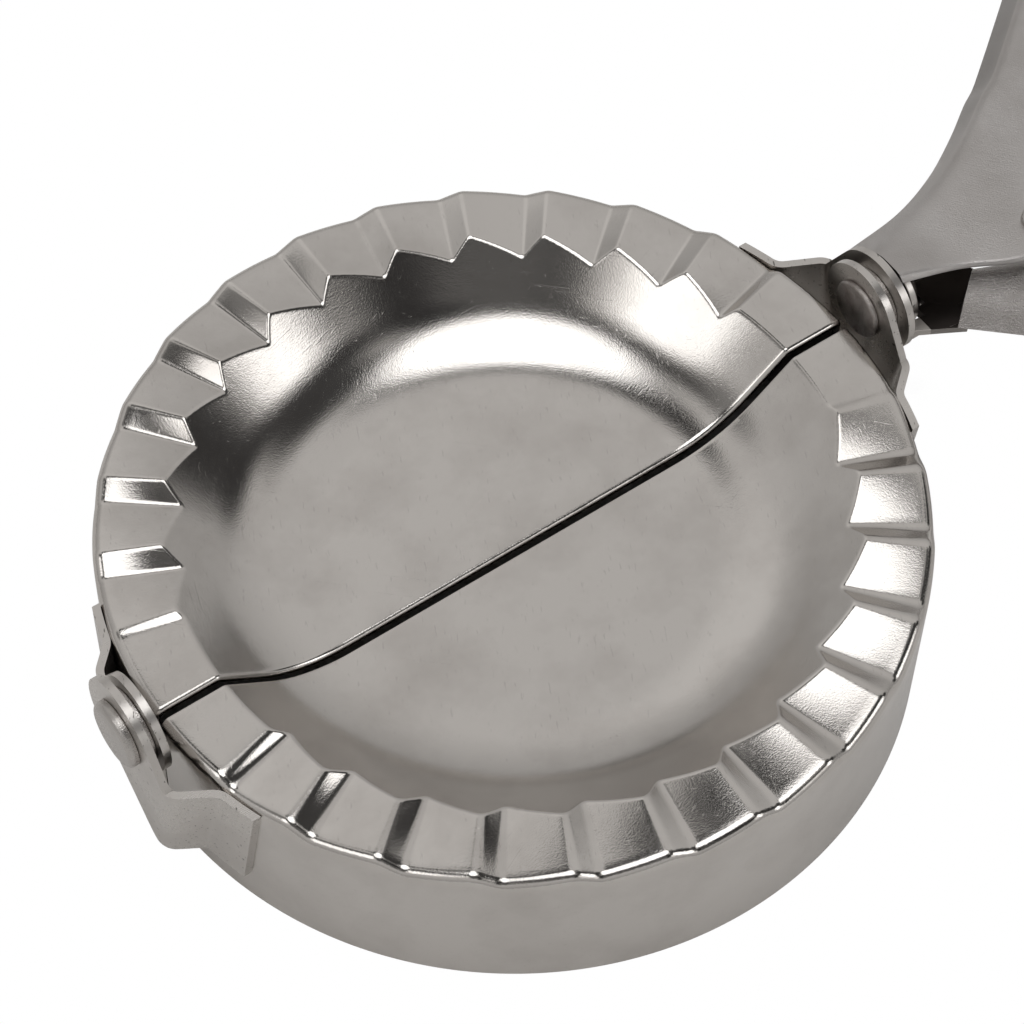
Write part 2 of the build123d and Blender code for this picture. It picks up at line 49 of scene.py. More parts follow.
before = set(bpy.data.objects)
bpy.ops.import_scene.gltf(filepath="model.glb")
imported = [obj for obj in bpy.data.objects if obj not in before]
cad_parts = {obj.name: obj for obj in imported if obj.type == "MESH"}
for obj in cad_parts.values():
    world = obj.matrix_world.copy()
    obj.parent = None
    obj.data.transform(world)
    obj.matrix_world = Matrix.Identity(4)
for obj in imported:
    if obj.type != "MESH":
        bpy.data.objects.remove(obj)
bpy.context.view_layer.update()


class Half(Enum):
    """The two dishes of the open press."""

    LEFT = 1
    RIGHT = -1

    @property
    def body(self) -> str:
        """Name of the body the half shell belongs to.

        Returns:
            The body name of the frame.
        """
        return "left_half" if self is Half.LEFT else "right_half"


# ---- finishes ----
@dataclass(frozen=True)
class SteelFinish:
    """One stainless steel surface.

    Attributes:
        name: material name.
        tint: linear colour of the metal.
        roughness: mean roughness.
        roughness_swing: how far the roughness wanders in patches.
        grain: stretch of the fine brushing along X, Y and Z, in lines per millimetre.
        grain_depth: strength of the brushing.
        pitting: strength of the tiny dents left by pressing.
        scratches: strength of the single long scratches.
        mottle: how much darker the dull patches are.
        ticks: how dark the short marks are.
        cloud_scale: dull patches per millimetre.
        grain_heading: direction of the brushing, degrees.
        painted_shade_beyond: X beyond which the faces that look up or back at the dishes get painted
            shade, millimetres.
        painted_side_shade: how much painted shade darkens the steep side faces, standing in for the
            dark shadow they mirror.
        stain: colour the dull patches lean to.
    """

    name: str
    tint: tuple[float, float, float]
    roughness: float
    roughness_swing: float = 0.08
    grain: tuple[float, float, float] = (0.4, 6.0, 6.0)
    grain_depth: float = 0.04
    pitting: float = 0.05
    scratches: float = 0.05
    mottle: float = 0.12
    ticks: float = 0.0
    cloud_scale: float = 0.09
    grain_heading: float = 0.0
    painted_shade_beyond: float | None = None
    painted_side_shade: float = 0.0
    stain: tuple[float, float, float] = (0.20, 0.17, 0.15)

    def build(self) -> bpy.types.Material:
        """Make the node material.

        Returns:
            The finished material.
        """
        nodes = NodeSheet(self.name)
        place = nodes.add("ShaderNodeTexCoord").outputs["Object"]
        metric = nodes.add("ShaderNodeMapping", Scale=(1 / MM, 1 / MM, 1 / MM))
        nodes.link(place, metric.inputs["Vector"])
        mm = metric.outputs["Vector"]
        clouds = nodes.noise(mm, self.cloud_scale, 4.0, 0.6)
        dull = nodes.ramp(clouds, ((0.42, 0.0), (0.72, 1.0)))
        amount = nodes.math("MULTIPLY", dull, self.mottle)
        colour = nodes.mix(amount, self.tint, self.stain)
        dash = nodes.add("ShaderNodeMapping", Scale=(0.7, 3.2, 3.2))
        nodes.link(nodes.turned(mm, 65.0), dash.inputs["Vector"])
        dashes = nodes.noise(dash.outputs["Vector"], 1.0, 2.0, 0.5)
        marks = nodes.ramp(dashes, ((0.66, 0.0), (0.72, self.ticks)))
        colour = nodes.mix(marks, colour, TICK_TINT)
        # painted shade on faces in the deep shadow beyond an X
        if self.painted_shade_beyond is not None:
            colour = self._painted_shade(nodes, mm, colour)
        # painted shade on the steep side faces, for the dark shadow under the handles that they mirror
        if self.painted_side_shade:
            level = nodes.math("ABSOLUTE", nodes.facing()["Z"])
            side_shade_mask = nodes.ramp(level, ((0.35, self.painted_side_shade), (0.6, 0.0)))
            colour = nodes.mix(side_shade_mask, colour, SIDE_SHADE_TINT)
        brushed = nodes.add("ShaderNodeMapping", Scale=self.grain)
        nodes.link(nodes.turned(mm, self.grain_heading), brushed.inputs["Vector"])
        grain = nodes.noise(brushed.outputs["Vector"], 1.0, 3.0, 0.6)
        pits = nodes.noise(mm, 5.0, 2.0, 0.7)
        scratch = self._scratches(nodes, mm)
        smoothest = self.roughness - self.roughness_swing
        wander = nodes.math("MULTIPLY_ADD", clouds, self.roughness_swing * 2, smoothest)
        rough = nodes.math("MULTIPLY_ADD", grain, self.roughness_swing, wander)
        height = nodes.math("MULTIPLY", grain, self.grain_depth)
        height = nodes.math("MULTIPLY_ADD", pits, self.pitting, height)
        height = nodes.math("MULTIPLY_ADD", scratch, -self.scratches, height)
        bump = nodes.add("ShaderNodeBump", Strength=1.0, Distance=BUMP_HEIGHT * MM)
        nodes.link(height, bump.inputs["Height"])
        shader = nodes.add("ShaderNodeBsdfPrincipled", Metallic=1.0)
        nodes.link(colour, shader.inputs["Base Color"])
        nodes.link(rough, shader.inputs["Roughness"])
        nodes.link(bump.outputs["Normal"], shader.inputs["Normal"])
        return nodes.close(shader)

    def _painted_shade(self, nodes: "NodeSheet", mm: bpy.types.NodeSocket,
                   colour: object) -> bpy.types.NodeSocket:
        """Paint shade on the faces beyond a distance along X that look up or back at the dishes, for
        the deep shadow under the left handle by the rear hinge.

        Args:
            nodes: sheet to add to.
            mm: position in millimetres.
            colour: colour so far.

        Returns:
            The colour with the painted shade.
        """
        facing = nodes.facing()
        beyond = nodes.math("GREATER_THAN", nodes.split(mm)["X"], self.painted_shade_beyond)
        inward = nodes.math("MULTIPLY", facing["X"], -1.0)
        shade_facing = nodes.ramp(nodes.math("MAXIMUM", facing["Z"], inward), ((0.2, 0.0), (0.8, 1.0)))
        return nodes.mix(nodes.math("MULTIPLY", beyond, shade_facing), colour, PAINTED_SHADE_TINT)

    @staticmethod
    def _scratches(nodes: "NodeSheet", mm: bpy.types.NodeSocket) -> bpy.types.NodeSocket:
        """Sparse thin lines in three directions.

        Args:
            nodes: sheet to add to.
            mm: position in millimetres.

        Returns:
            1 on a scratch and 0 elsewhere.
        """
        total = None
        for heading, seed in ((20.0, 3.0), (72.0, 17.0), (-43.0, 31.0)):
            bent = nodes.add("ShaderNodeMapping", Scale=(0.05, 2.4, 2.4), Location=(seed, seed, seed))
            nodes.link(nodes.turned(mm, heading), bent.inputs["Vector"])
            line = nodes.noise(bent.outputs["Vector"], 1.0, 1.0, 0.5)
            thin = nodes.ramp(line, ((0.72, 0.0), (0.76, 1.0)))
            total = thin if total is None else nodes.math("MAXIMUM", total, thin)
        return total


class NodeSheet:
    """Small helper that lays out the nodes of one material or world."""

    def __init__(self, name: str) -> None:
        """Start an empty material.

        Args:
            name: material name.
        """
        self.material = bpy.data.materials.new(name)
        self.material.use_nodes = True
        self.tree = self.material.node_tree
        self.tree.nodes.clear()

    @classmethod
    def for_world(cls, world: bpy.types.World) -> "NodeSheet":
        """Sheet for the nodes of a world.

        Args:
            world: world with nodes switched on.

        Returns:
            The empty sheet.
        """
        sheet = cls.__new__(cls)
        sheet.tree = world.node_tree
        sheet.tree.nodes.clear()
        return sheet

    def add(self, kind: str, **sockets: object) -> bpy.types.Node:
        """Add a node and set its unlinked sockets.

        Args:
            kind: Blender's name of the node type.
            **sockets: values by socket name.

        Returns:
            The new node.
        """
        node = self.tree.nodes.new(kind)
        for label, value in sockets.items():
            node.inputs[label].default_value = value
        return node

    def link(self, source: bpy.types.NodeSocket, target: bpy.types.NodeSocket) -> None:
        """Join two sockets.

        Args:
            source: output socket.
            target: input socket.
        """
        self.tree.links.new(source, target)

    def split(self, vector: bpy.types.NodeSocket) -> bpy.types.NodeOutputs:
        """Take a vector apart.

        Args:
            vector: vector socket.

        Returns:
            Sockets by the names X, Y and Z.
        """
        node = self.add("ShaderNodeSeparateXYZ")
        self.link(vector, node.inputs[0])
        return node.outputs

    def facing(self) -> bpy.types.NodeOutputs:
        """Direction the surface faces.

        Returns:
            Sockets by the names X, Y and Z.
        """
        return self.split(self.add("ShaderNodeNewGeometry").outputs["Normal"])

    def noise(self, vector: bpy.types.NodeSocket, scale: float, detail: float,
              rough: float) -> bpy.types.NodeSocket:
        """Fractal noise.

        Args:
            vector: position.
            scale: lumps per unit.
            detail: number of finer layers.
            rough: weight of the finer layers.

        Returns:
            Value around one half.
        """
        node = self.add("ShaderNodeTexNoise", Scale=scale, Detail=detail, Roughness=rough)
        self.link(vector, node.inputs["Vector"])
        return node.outputs["Fac"]

    def turned(self, vector: bpy.types.NodeSocket, heading: float) -> bpy.types.NodeSocket:
        """Turn the axes about Z so that X runs along a heading.

        Args:
            vector: position.
            heading: degrees from +X towards +Y.

        Returns:
            The turned position.
        """
        node = self.add("ShaderNodeMapping", Rotation=(0.0, 0.0, math.radians(heading)))
        node.vector_type = "TEXTURE"
        self.link(vector, node.inputs["Vector"])
        return node.outputs["Vector"]

    def ramp(self, value: bpy.types.NodeSocket,
             stops: tuple[tuple[float, float], ...]) -> bpy.types.NodeSocket:
        """Map a value through grey stops.

        Args:
            value: input value.
            stops: (position, grey) pairs.

        Returns:
            The mapped value.
        """
        node = self.add("ShaderNodeValToRGB")
        strip = node.color_ramp
        while len(strip.elements) < len(stops):
            strip.elements.new(0.5)
        for element, (position, grey) in zip(strip.elements, stops):
            element.position = position
            element.color = (grey, grey, grey, 1.0)
        self.link(value, node.inputs["Fac"])
        return node.outputs["Color"]

    def math(self, operation: str, *values: object) -> bpy.types.NodeSocket:
        """Arithmetic on values or sockets.

        Args:
            operation: Blender's name of the operation.
            *values: numbers or sockets.

        Returns:
            The result socket.
        """
        node = self.add("ShaderNodeMath")
        node.operation = operation
        for socket, value in zip(node.inputs, values):
            if isinstance(value, (int, float)):
                socket.default_value = value
            else:
                self.link(value, socket)
        return node.outputs["Value"]

    def mix(self, factor: bpy.types.NodeSocket, first: object, second: object) -> bpy.types.NodeSocket:
        """Blend two colours.

        Args:
            factor: 0 for the first and 1 for the second.
            first: colour or socket.
            second: colour or socket.

        Returns:
            The blended colour.
        """
        node = self.add("ShaderNodeMix")
        node.data_type = "RGBA"
        self.link(factor, node.inputs["Factor"])
        for socket, value in ((node.inputs[6], first), (node.inputs[7], second)):
            if isinstance(value, tuple):
                socket.default_value = (*value[:3], 1.0)
            else:
                self.link(value, socket)
        return node.outputs[2]

    def close(self, shader: bpy.types.Node) -> bpy.types.Material:
        """Join the shader to the output.

        Args:
            shader: last shader node.

        Returns:
            The material.
        """
        output = self.add("ShaderNodeOutputMaterial")
        self.link(shader.outputs[0], output.inputs["Surface"])
        return self.material


# ---- geometry helpers ----
def blend_min(first: float, second: float, width: float) -> float:
    """The smaller of two values with a rounded change-over.

    Args:
        first: one value.
        second: the other value.
        width: difference below which the change-over is rounded.

    Returns:
        The blended value.
    """
    near = max(width - abs(first - second), 0.0)
    return min(first, second) - near * near / (4.0 * width)


def grid_faces(rows: int, columns: int) -> list[tuple[int, int, int, int]]:
    """Quads of a grid whose points are stored row by row.

    Args:
        rows: number of rows.
        columns: number of columns.

    Returns:
        Vertex indices of every quad.
    """
    faces = []
    for row in range(rows - 1):
        for column in range(columns - 1):
            corner = row * columns + column
            faces.append((corner, corner + columns, corner + columns + 1, corner + 1))
    return faces


def new_object(name: str, points: list[Vector], faces: list[tuple[int, ...]]) -> bpy.types.Object:
    """Make a smooth-shaded mesh object from points in metres.

    Args:
        name: object name.
        points: vertices.
        faces: vertex indices.

    Returns:
        The linked object.
    """
    mesh = bpy.data.meshes.new(name)
    mesh.from_pydata([tuple(point) for point in points], [], faces)
    mesh.validate()
    mesh.shade_smooth()
    piece = bpy.data.objects.new(name, mesh)
    bpy.context.scene.collection.objects.link(piece)
    return piece


def bevel(piece: bpy.types.Object, width: float, angle: float = 40.0, segments: int = 2) -> None:
    """Round the sharp edges of a piece.

    Args:
        piece: object to round.
        width: bevel width in millimetres.
        angle: smallest angle that counts as sharp, degrees.
        segments: steps across the rounding.
    """
    modifier = piece.modifiers.new("edge_round", "BEVEL")
    modifier.width = width * MM
    modifier.segments = segments
    modifier.limit_method = "ANGLE"
    modifier.angle_limit = math.radians(angle)
    modifier.harden_normals = True


def thicken(piece: bpy.types.Object, thickness: float) -> None:
    """Give a surface the thickness of its sheet, inwards.

    Args:
        piece: surface.
        thickness: millimetres.
    """
    modifier = piece.modifiers.new("sheet", "SOLIDIFY")
    modifier.thickness = thickness * MM
    modifier.offset = -1.0
    modifier.use_even_offset = True


def bake(piece: bpy.types.Object) -> None:
    """Apply all modifiers of a piece to its mesh.

    Args:
        piece: object to change.
    """
    graph = bpy.context.evaluated_depsgraph_get()
    graph.update()
    mesh = bpy.data.meshes.new_from_object(piece.evaluated_get(graph))
    piece.modifiers.clear()
    piece.data = mesh


# ---- layout ----
@dataclass(frozen=True)
class Layout:
    """Places that every piece is measured from, in millimetres of the frame.

    Attributes:
        ring: middle of the ring of crimps.
        pivot: a point on the hinge axis.
    """

    ring: Vector
    pivot: Vector

    @classmethod
    def from_frame(cls) -> "Layout":
        """Read the layout from the CAD shells.

        Returns:
            The layout.
        """
        low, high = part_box("left_half_shell")
        ring = Vector(((low.x + high.x) / 2 / MM, low.y / MM - HALF_GAP, SKIRT_DEPTH))
        return cls(ring, ring + Vector((0, 0, HINGE_RISE)))

    def at(self, x: float, y: float, z: float) -> Vector:
        """Point of the frame in metres.

        Args:
            x: along the hinge axis from the middle of the ring.
            y: towards the left half.
            z: above the middle of the crimps.

        Returns:
            The point.
        """
        return (self.ring + Vector((x, y, z))) * MM


# ---- half shells ----
REFERENCE_RADIUS = 37.2  # where the inner height of a crimp is given
FLANGE_WIDTH = 7.7  # from there to where its outer height is given
RIM_REACH = 0.7  # finely divided strip either side of the dish's edge
RIM_SHIFTS = (-0.5, -0.35, -0.22, -0.11, 0.0, 0.11, 0.22, 0.35, 0.5, RIM_REACH)
CREASE_SHIFTS = (-0.9, -0.7, -0.52, -0.37, -0.25, -0.12, 0.0, 0.12, 0.25, 0.37, 0.52, 0.7, 0.9)
CLOSEST_SECTIONS = 0.09  # degrees
OVERRUN = 6.0  # degrees the crimps are described beyond the straight edge
PAD_SHIFT = 0.3  # degrees by which the plain ends stop before a crease
ROLL_SHARES = (0.0, 0.03, 0.1, 0.2, 0.33, 0.5, 0.7, 1.0)  # cuts across the rolled straight edge


@dataclass
class HalfShell:
    """Dish, crimped flange and cutting skirt of one half, drawn from one sheet.

    Attributes:
        half: which half this is.
        layout: shared places.
        finish: its material.
        sheet: sheet thickness.
        rim_radius: outside of the skirt.
        rim_round: bend between flange and skirt.
        edge_gap: distance of the straight edge from the hinge plane.
        edge_round: roll-over of the straight edge.
        crimps: crimps in half a turn.
        inner: height of a crest at the inner reference.
        outer: height of a crest at the outer reference.
        step: width of a steep facet, degrees.
        pad: height of the plain ends.
        wall_angle: slope of the dish wall, degrees.
        floor_radius: flat floor of the dish.
        blend_radius: bend between floor and wall.
        depth: floor below the middle of the crimps.
        inner_round: bend between wall and flange.
        spread: angles over which a crease is rounded, degrees.
        stations: angle, inner height and outer height at every crease.
    """

    half: Half
    layout: Layout
    finish: bpy.types.Material
    sheet: float = SHEET
    rim_radius: float = 45.9
    rim_round: float = 1.25
    edge_gap: float = 0.76
    edge_round: float = 0.3
    crimps: int = 14
    inner: float = 0.84
    outer: float = 0.57
    step: float = 3.4
    pad: float = 0.38
    wall_angle: float = 38.3
    floor_radius: float = 22.0
    blend_radius: float = 17.0
    depth: float = 7.45
    inner_round: float = 0.26
    spread: tuple[float, ...] = (-0.45, -0.3, -0.15, 0.0, 0.15, 0.3, 0.45)
    stations: list[tuple[float, float, float]] = field(init=False)

    def __post_init__(self) -> None:
        """Lay out the creases of the crimps."""
        pitch = 180.0 / self.crimps
        half = self.step / 2
        crest = (self.inner, self.outer)
        valley = (-self.inner, -self.outer)
        pad = (self.pad, self.pad)
        line = [(-OVERRUN, *pad), (pitch - PAD_SHIFT, *pad), (pitch + half, *valley)]
        for index in range(2, self.crimps - 1):
            line.append((index * pitch - half, *crest))
            line.append((index * pitch + half, *valley))
        last = (self.crimps - 1) * pitch
        line += [(last - half, *crest), (last - PAD_SHIFT, *pad), (180.0 + OVERRUN, *pad)]
        self.stations = line

    def crimp(self, angle: float) -> tuple[float, float]:
        """Heights of the flange at its inner and outer reference radius.

        Args:
            angle: degrees round the ring.

        Returns:
            Inner and outer height above the middle of the crimps.
        """
        total = [0.0, 0.0]
        for shift in self.spread:
            turned = angle + shift
            for (a0, i0, o0), (a1, i1, o1) in zip(self.stations, self.stations[1:]):
                if a0 <= turned <= a1:
                    part = (turned - a0) / (a1 - a0)
                    total[0] += (i0 + (i1 - i0) * part) / len(self.spread)
                    total[1] += (o0 + (o1 - o0) * part) / len(self.spread)
                    break
        return total[0], total[1]

    def wall(self, radius: float) -> float:
        """Height of the dish surface.

        Args:
            radius: distance from the middle.

        Returns:
            Height above the middle of the crimps.
        """
        slope = math.radians(self.wall_angle)
        start = self.floor_radius + self.blend_radius * math.sin(slope)
        if radius <= self.floor_radius:
            return -self.depth
        if radius <= start:
            run = radius - self.floor_radius
            return -self.depth + self.blend_radius - math.sqrt(self.blend_radius ** 2 - run ** 2)
        base = -self.depth + self.blend_radius * (1 - math.cos(slope))
        return base + (radius - start) * math.tan(slope)

    def section(self, angle: float) -> list[tuple[float, float]]:
        """Outer face of the sheet at one angle, from the middle to the cutting edge.

        Args:
            angle: degrees round the ring.

        Returns:
            Radius and height of every point.
        """
        inner, outer = self.crimp(angle)
        rise = (outer - inner) / FLANGE_WIDTH
        slope = math.tan(math.radians(self.wall_angle))
        start = self.floor_radius + self.blend_radius * math.sin(math.radians(self.wall_angle))
        edge = start + (inner - rise * (REFERENCE_RADIUS - start) - self.wall(start)) / (slope - rise)
        radii = [self.floor_radius * part / 9 for part in range(10)]
        radii += [self.floor_radius + (start - self.floor_radius) * part / 10 for part in range(1, 11)]
        radii += [start + (edge - RIM_REACH - start) * part / 6 for part in range(1, 7)]
        radii += [edge + shift for shift in RIM_SHIFTS]
        corner = self.rim_radius - self.rim_round
        radii += [edge + RIM_REACH + (corner - edge - RIM_REACH) * part / 9 for part in range(1, 10)]
        points = []
        for radius in radii:
            flange = inner + rise * (radius - REFERENCE_RADIUS)
            points.append((radius, blend_min(self.wall(radius), flange, self.inner_round)))
        top = points[-1][1]
        for part in range(1, 9):
            turn = math.pi / 2 * part / 8
            drop = self.rim_round * (1 - math.cos(turn))
            points.append((corner + self.rim_round * math.sin(turn), top - drop))
        foot = -self.layout.ring.z
        knee = top - self.rim_round
        points += [(self.rim_radius, knee + (foot - knee) * part / 12) for part in range(1, 13)]
        return points

    def angles(self) -> list[float]:
        """Angles of the sections, close together at the creases.

        Returns:
            Sorted degrees.
        """
        wanted = {float(degree) for degree in range(-4, 185)}
        for station, _, _ in self.stations[1:-1]:
            for shift in CREASE_SHIFTS:
                wanted.add(round(station + shift, 3))
        kept: list[float] = []
        for angle in sorted(wanted):
            if not kept or angle - kept[-1] > CLOSEST_SECTIONS:
                kept.append(angle)
        return kept

    def build(self) -> bpy.types.Object:
        """Make the shell and let it stand for its CAD node.

        Returns:
            The finished object.
        """
        angles = self.angles()
        sections = [self.section(angle) for angle in angles]
        sign = self.half.value
        points = []
        for row in range(len(sections[0])):
            for angle, section in zip(angles, sections):
                radius, height = section[row]
                turn = math.radians(angle)
                across, ahead = sign * radius * math.cos(turn), sign * radius * math.sin(turn)
                points.append(self.layout.at(across, ahead, height))
        name = f"{self.half.name.lower()}_shell_drawn"
        piece = new_object(name, points, grid_faces(len(sections[0]), len(angles)))
        self._trim(piece)
        thicken(piece, self.sheet)
        bake(piece)
        bevel(piece, width=0.13, angle=50.0)
        piece.data.materials.append(self.finish)
        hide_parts(f"{self.half.name.lower()}_half_shell")
        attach(piece, self.half.body)
        LOG.info("%s: %d faces", name, len(piece.data.polygons))
        return piece

    def _trim(self, piece: bpy.types.Object) -> None:
        """Cut the shell along its straight edge, face it outward and roll that edge down.

        Args:
            piece: the shell's surface.
        """
        work = bmesh.new()
        work.from_mesh(piece.data)
        bmesh.ops.remove_doubles(work, verts=work.verts, dist=0.5e-6)
        sign = self.half.value
        plane = self.layout.at(0, sign * self.edge_gap, 0)
        for share in ROLL_SHARES:
            parts = list(work.verts) + list(work.edges) + list(work.faces)
            line = self.layout.at(0, sign * (self.edge_gap + share * self.edge_round), 0)
            bmesh.ops.bisect_plane(work, geom=parts, plane_co=line, plane_no=(0, -sign, 0),
                                   clear_outer=share == 0.0)
        bmesh.ops.recalc_face_normals(work, faces=work.faces)
        flat = max(work.faces, key=lambda face: face.normal.z ** 2 * face.calc_area())
        if flat.normal.z < 0:
            bmesh.ops.reverse_faces(work, faces=work.faces)
        work.normal_update()
        for vert in work.verts:
            inward = self.edge_round - abs(vert.co.y - plane.y) / MM
            if inward > 0:
                drop = self.edge_round - math.sqrt(max(self.edge_round ** 2 - inward ** 2, 0.0))
                vert.co += vert.normal * (-drop * MM)
        work.to_mesh(piece.data)
        work.free()
        piece.data.shade_smooth()


# ---- handles ----
FOLD_SHARE = 0.42  # largest part of the flat that one fold may take
RUN_SHARE = 0.8  # largest part of a straight run that a fold may take
ROWS_PER_STATION = 14
CUTTER_FOOT, CUTTER_TOP = -15.0, 25.0
TIP_BLOCK = (40.0, 30.0)  # length and half width of the block that shapes a tip


@dataclass(frozen=True)
class Station:
    """Cross-section of a handle.

    Attributes:
        far: plan point of the outer lower edge.
        near: plan point of the inner lower edge.
        web: height of the flat.
        far_edge: height of the outer lower edge.
        near_edge: height of the inner lower edge.
        far_bevel: width of the outer sloping side.
        near_bevel: width of the inner sloping side.
        round: length taken off each side of a fold by its bend.
    """

    far: tuple[float, float]
    near: tuple[float, float]
    web: float
    far_edge: float
    near_edge: float
    far_bevel: float
    near_bevel: float
    round: float = 1.3

    def values(self) -> list[float]:
        """All measures in a row.

        Returns:
            Plain numbers for interpolation.
        """
        return [*self.far, *self.near, self.web, self.far_edge, self.near_edge,
                self.far_bevel, self.near_bevel, self.round]


@dataclass
class Handle:
    """Channel handle pressed from one sheet, with a round tip and a hanging hole.

    Attributes:
        name: CAD node it stands for.
        body: body it rides on.
        layout: shared places.
        finish: its material.
        stations: cross-sections from the hinge outwards.
        tip: plan point in the middle of the round tip.
        heading: direction of the grip in degrees.
        sheet: sheet thickness.
        width: width across the grip.
        hole: radius of the hanging hole.
    """

    name: str
    body: str
    layout: Layout
    finish: bpy.types.Material
    stations: list[Station]
    tip: tuple[float, float]
    heading: float
    sheet: float = SHEET
    width: float = 19.0
    hole: float = 3.0

    def profile(self, row: list[float]) -> list[Vector]:
        """Rounded cross-section.

        Args:
            row: measures as Station.values gives them.

        Returns:
            Points from the outer to the inner lower edge, in metres.
        """
        far, near = Vector((row[0], row[1], 0)), Vector((row[2], row[3], 0))
        web, far_edge, near_edge, far_bevel, near_bevel, rounding = row[4:]
        across = near - far
        width = across.length
        across.normalize()
        corners = [Vector((0, far_edge)), Vector((far_bevel, web)),
                   Vector((width - near_bevel, web)), Vector((width, near_edge))]
        reach = min(rounding, (corners[2] - corners[1]).length * FOLD_SHARE)
        first = self._bend(corners[0], corners[1], corners[2], reach)
        second = self._bend(corners[1], corners[2], corners[3], reach)
        flat = [first[-1].lerp(second[0], index / 8) for index in range(1, 8)]
        foot = [corners[0].lerp(first[0], index / 3) for index in range(3)]
        toe = [second[-1].lerp(corners[3], index / 3) for index in range(1, 4)]
        line = foot + first + flat + second + toe
        return [self.layout.at(*(far + across * point.x).xy, point.y) for point in line]

    @staticmethod
    def _bend(before: Vector, corner: Vector, after: Vector, reach: float) -> list[Vector]:
        """Rounded fold between two straight runs.

        Args:
            before: end of the first run.
            corner: where the runs would meet.
            after: end of the second run.
            reach: length taken off each run.

        Returns:
            Points along the fold.
        """
        reach = min(reach, (before - corner).length * RUN_SHARE, (after - corner).length * RUN_SHARE)
        start = corner + (before - corner).normalized() * reach
        end = corner + (after - corner).normalized() * reach
        points = []
        for index in range(9):
            part = index / 8
            pull = corner * (2 * part * (1 - part))
            points.append(start * (1 - part) ** 2 + pull + end * part ** 2)
        return points

    def rows(self, count: int) -> list[list[float]]:
        """Measures between the stations on a smooth curve.

        Args:
            count: rows between two stations.

        Returns:
            Interpolated measures.
        """
        knots = [station.values() for station in self.stations]
        mids = [Vector(((k[0] + k[2]) / 2, (k[1] + k[3]) / 2)) for k in knots]
        at = [0.0]
        for first, second in zip(mids, mids[1:]):
            at.append(at[-1] + (second - first).length)
        slopes = []
        for index in range(len(knots)):
            low, high = max(index - 1, 0), min(index + 1, len(knots) - 1)
            span = at[high] - at[low]
            slopes.append([(b - a) / span for a, b in zip(knots[low], knots[high])])
        result = []
        for index in range(len(knots) - 1):
            span = at[index + 1] - at[index]
            last = index == len(knots) - 2
            for step in range(count + (1 if last else 0)):
                t = step / count
                h00, h10 = 2 * t ** 3 - 3 * t ** 2 + 1, t ** 3 - 2 * t ** 2 + t
                h01, h11 = -2 * t ** 3 + 3 * t ** 2, t ** 3 - t ** 2
                result.append([h00 * a + h10 * span * m + h01 * b + h11 * span * n for a, b, m, n in
                               zip(knots[index], knots[index + 1], slopes[index], slopes[index + 1])])
        return result

    def build(self) -> bpy.types.Object:
        """Make the handle and let it stand for its CAD node.

        Returns:
            The finished object.
        """
        rows = self.rows(ROWS_PER_STATION)
        outlines = [self.profile(row) for row in rows]
        points = [point for outline in outlines for point in outline]
        piece = new_object(f"{self.name}_pressed", points, grid_faces(len(outlines), len(outlines[0])))
        work = bmesh.new()
        work.from_mesh(piece.data)
        bmesh.ops.recalc_face_normals(work, faces=work.faces)
        if sum(face.normal.z * face.calc_area() for face in work.faces) < 0:
            bmesh.ops.reverse_faces(work, faces=work.faces)
        work.to_mesh(piece.data)
        work.free()
        thicken(piece, self.sheet)
        cutters = [self._tip_cutter(), self._hole_cutter()]
        for cutter in cutters:
            cut = piece.modifiers.new("cut", "BOOLEAN")
            cut.operation = "DIFFERENCE"
            cut.solver = "EXACT"
            cut.object = cutter
        bake(piece)
        for cutter in cutters:
            bpy.data.objects.remove(cutter)
        work = bmesh.new()
        work.from_mesh(piece.data)
        bmesh.ops.remove_doubles(work, verts=work.verts, dist=1e-5)
        bmesh.ops.dissolve_degenerate(work, dist=5e-6, edges=work.edges)
        work.to_mesh(piece.data)
        work.free()
        piece.data.shade_smooth()
        bevel(piece, width=0.12)
        piece.data.materials.append(self.finish)
        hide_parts(self.name)
        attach(piece, self.body)
        LOG.info("%s: %d faces", piece.name, len(piece.data.polygons))
        return piece

    def _tip_cutter(self) -> bpy.types.Object:
        """Block with a round bay that shapes the tip.

        Returns:
            The cutting object.
        """
        radius = self.width / 2
        length, half = TIP_BLOCK
        outline = [(0.0, -half), (length, -half), (length, half), (0.0, half)]
        for index in range(25):
            turn = math.pi / 2 - math.pi * index / 24
            outline.append((radius * math.cos(turn), radius * math.sin(turn)))
        return self._prism("tip_cutter", outline)

    def _hole_cutter(self) -> bpy.types.Object:
        """Round punch for the hanging hole.

        Returns:
            The cutting object.
        """
        outline = []
        for index in range(40):
            turn = 2 * math.pi * index / 40
            outline.append((self.hole * math.cos(turn), self.hole * math.sin(turn)))
        return self._prism("hole_cutter", outline)

    def _prism(self, name: str, outline: list[tuple[float, float]]) -> bpy.types.Object:
        """Upright prism over an outline measured from the tip along the grip.

        Args:
            name: object name.
            outline: run and sideways distance of each corner.

        Returns:
            The prism.
        """
        turn = Matrix.Rotation(math.radians(self.heading), 2)
        count = len(outline)
        points = []
        for height in (CUTTER_FOOT, CUTTER_TOP):
            for corner in outline:
                plan = turn @ Vector(corner) + Vector(self.tip)
                points.append(self.layout.at(plan.x, plan.y, height))
        faces: list[tuple[int, ...]] = [tuple(range(count))[::-1], tuple(range(count, 2 * count))]
        for index in range(count):
            after = (index + 1) % count
            faces.append((index, after, after + count, index + count))
        cutter = new_object(name, points, faces)
        work = bmesh.new()
        work.from_mesh(cutter.data)
        bmesh.ops.recalc_face_normals(work, faces=work.faces)
        work.to_mesh(cutter.data)
        work.free()
        return cutter


